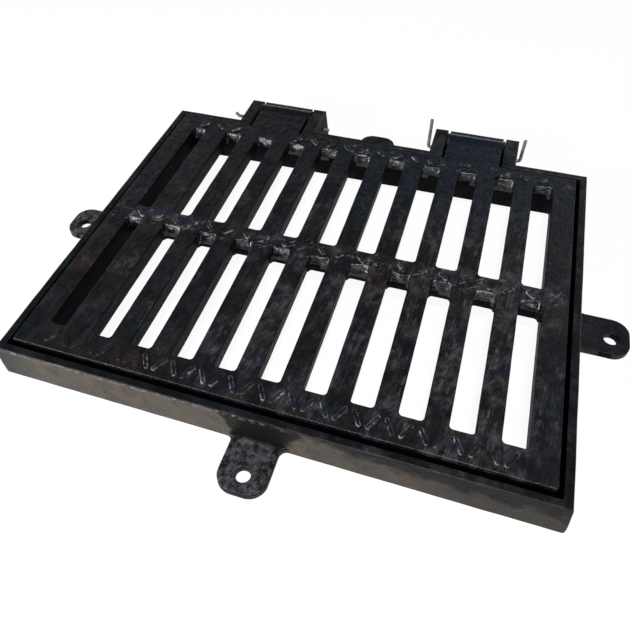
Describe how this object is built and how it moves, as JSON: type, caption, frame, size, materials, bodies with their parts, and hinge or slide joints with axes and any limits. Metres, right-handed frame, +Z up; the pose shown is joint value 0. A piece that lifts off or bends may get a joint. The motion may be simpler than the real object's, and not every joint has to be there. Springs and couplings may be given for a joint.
{
  "type": "hinged drain grate",
  "caption": "Rectangular cast-iron drain grate with long slots, hinged at the rear in a shallow frame with fixing lugs.",
  "frame": {"origin": "middle between the left and right lug holes, on the plane that the frame stands on", "axes": "+X along the hinge line to the right, +Y towards the hinges at the rear, +Z up"},
  "size_m": [0.606, 0.508, 0.0585],
  "materials": {
    "frame_iron": "brushed-on gloss black paint, thinner and greyer on the outer wall",
    "grate_iron": "brushed-on gloss black paint over a rough casting",
    "pin_steel": "plain steel wire"
  },
  "bodies": {
    "frame": {"frame": "frame_iron", "hinge_pin_left": "pin_steel", "hinge_pin_right": "pin_steel"},
    "grate": {"grate": "grate_iron"}
  },
  "joints": [
    {"name": "grate_hinge", "type": "hinge", "parent": "frame", "child": "grate", "pos_m": [0, 0.236, 0.02], "axis": [-1, 0, 0], "range_deg": [0, 110]}
  ]
}
